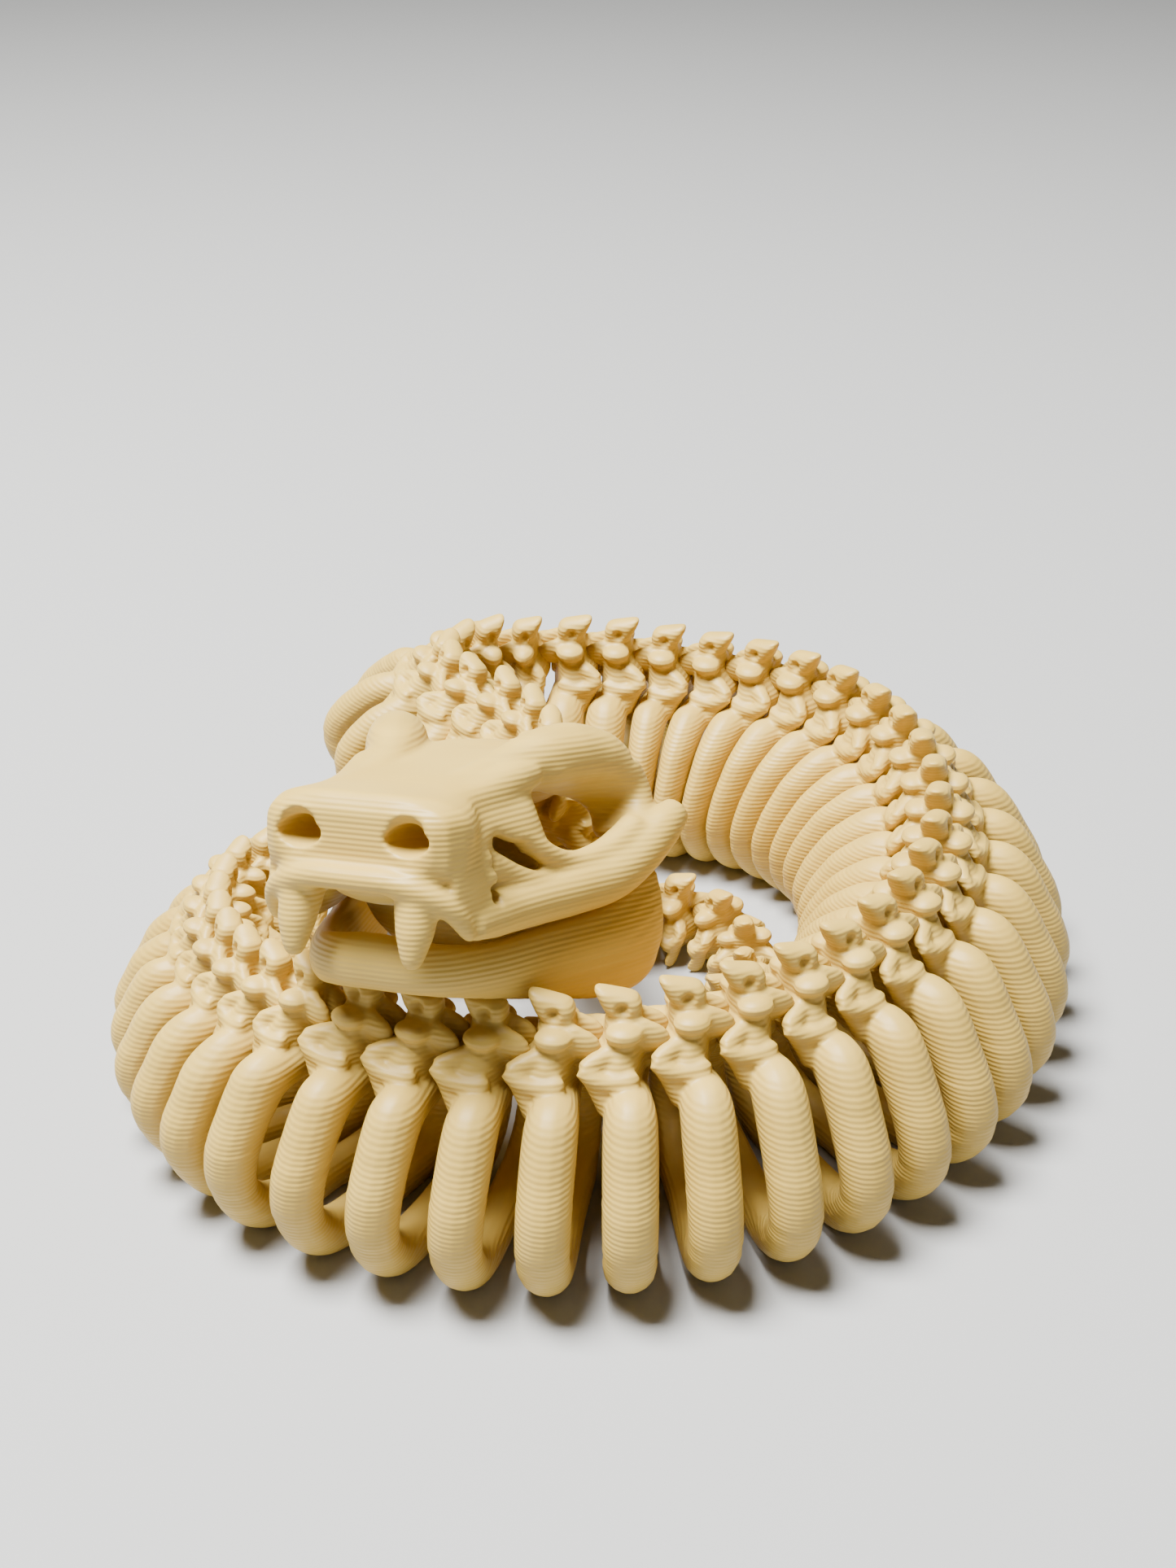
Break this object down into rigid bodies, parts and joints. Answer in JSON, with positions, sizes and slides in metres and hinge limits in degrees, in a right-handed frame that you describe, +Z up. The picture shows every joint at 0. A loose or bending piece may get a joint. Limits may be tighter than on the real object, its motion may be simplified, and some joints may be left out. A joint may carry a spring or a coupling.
{
  "type": "printed python skeleton toy",
  "caption": "Coiled python skeleton of printed links: vertebrae over closed rib hoops, a fanged skull with open eye sockets resting on the front row, and a tapering tail.",
  "frame": {"origin": "middle of the plan's bounding box, on the floor that the rib hoops stand on", "axes": "+Z up; +Y from the front row, under the skull, towards the back row; +X to the skull's left, towards the far side of the coil"},
  "size_m": [0.0796, 0.0828, 0.0365],
  "materials": {
    "printed_plastic": "warm cream to bone yellow printed plastic, matte to satin, with fine horizontal layer lines"
  },
  "bodies": {
    "root": {"link_01_neck": "printed_plastic", "link_02_neck": "printed_plastic", "link_03_neck": "printed_plastic", "link_04_neck": "printed_plastic", "link_05_neck": "printed_plastic", "link_06_neck": "printed_plastic", "link_07_nape": "printed_plastic", "link_08_nape": "printed_plastic", "link_09_nape": "printed_plastic", "link_10_nape": "printed_plastic", "link_11_nape": "printed_plastic", "link_12_shoulder": "printed_plastic", "link_13_shoulder": "printed_plastic", "link_14_shoulder": "printed_plastic", "link_15_back": "printed_plastic", "link_16_back": "printed_plastic", "link_17_back": "printed_plastic", "link_18_back": "printed_plastic", "link_19_back": "printed_plastic", "link_20_back": "printed_plastic", "link_21_back": "printed_plastic", "link_22_flank": "printed_plastic", "link_23_flank": "printed_plastic", "link_24_flank": "printed_plastic", "link_25_flank": "printed_plastic", "link_26_flank": "printed_plastic", "link_27_flank": "printed_plastic", "link_28_flank": "printed_plastic", "link_29_flank": "printed_plastic", "link_30_front": "printed_plastic", "link_31_front": "printed_plastic", "link_32_front": "printed_plastic", "link_33_front": "printed_plastic", "link_34_front": "printed_plastic", "link_35_front": "printed_plastic", "link_36_front": "printed_plastic", "link_37_front": "printed_plastic", "link_38_curl": "printed_plastic", "link_39_curl": "printed_plastic", "link_40_curl": "printed_plastic", "link_41_curl": "printed_plastic", "link_42_curl": "printed_plastic", "link_43_curl": "printed_plastic", "link_44_curl": "printed_plastic", "link_45_under": "printed_plastic", "link_46_under": "printed_plastic", "link_47_under": "printed_plastic", "link_48_under": "printed_plastic", "link_49_tail": "printed_plastic", "link_50_tail": "printed_plastic", "link_51_tail": "printed_plastic", "link_52_tail": "printed_plastic", "link_53_tail": "printed_plastic", "link_54_tip": "printed_plastic", "link_55_tip": "printed_plastic", "link_56_tip": "printed_plastic", "link_57_tip": "printed_plastic", "link_58_tip": "printed_plastic", "lower_jaw": "printed_plastic", "skull": "printed_plastic"}
  },
  "joints": []
}
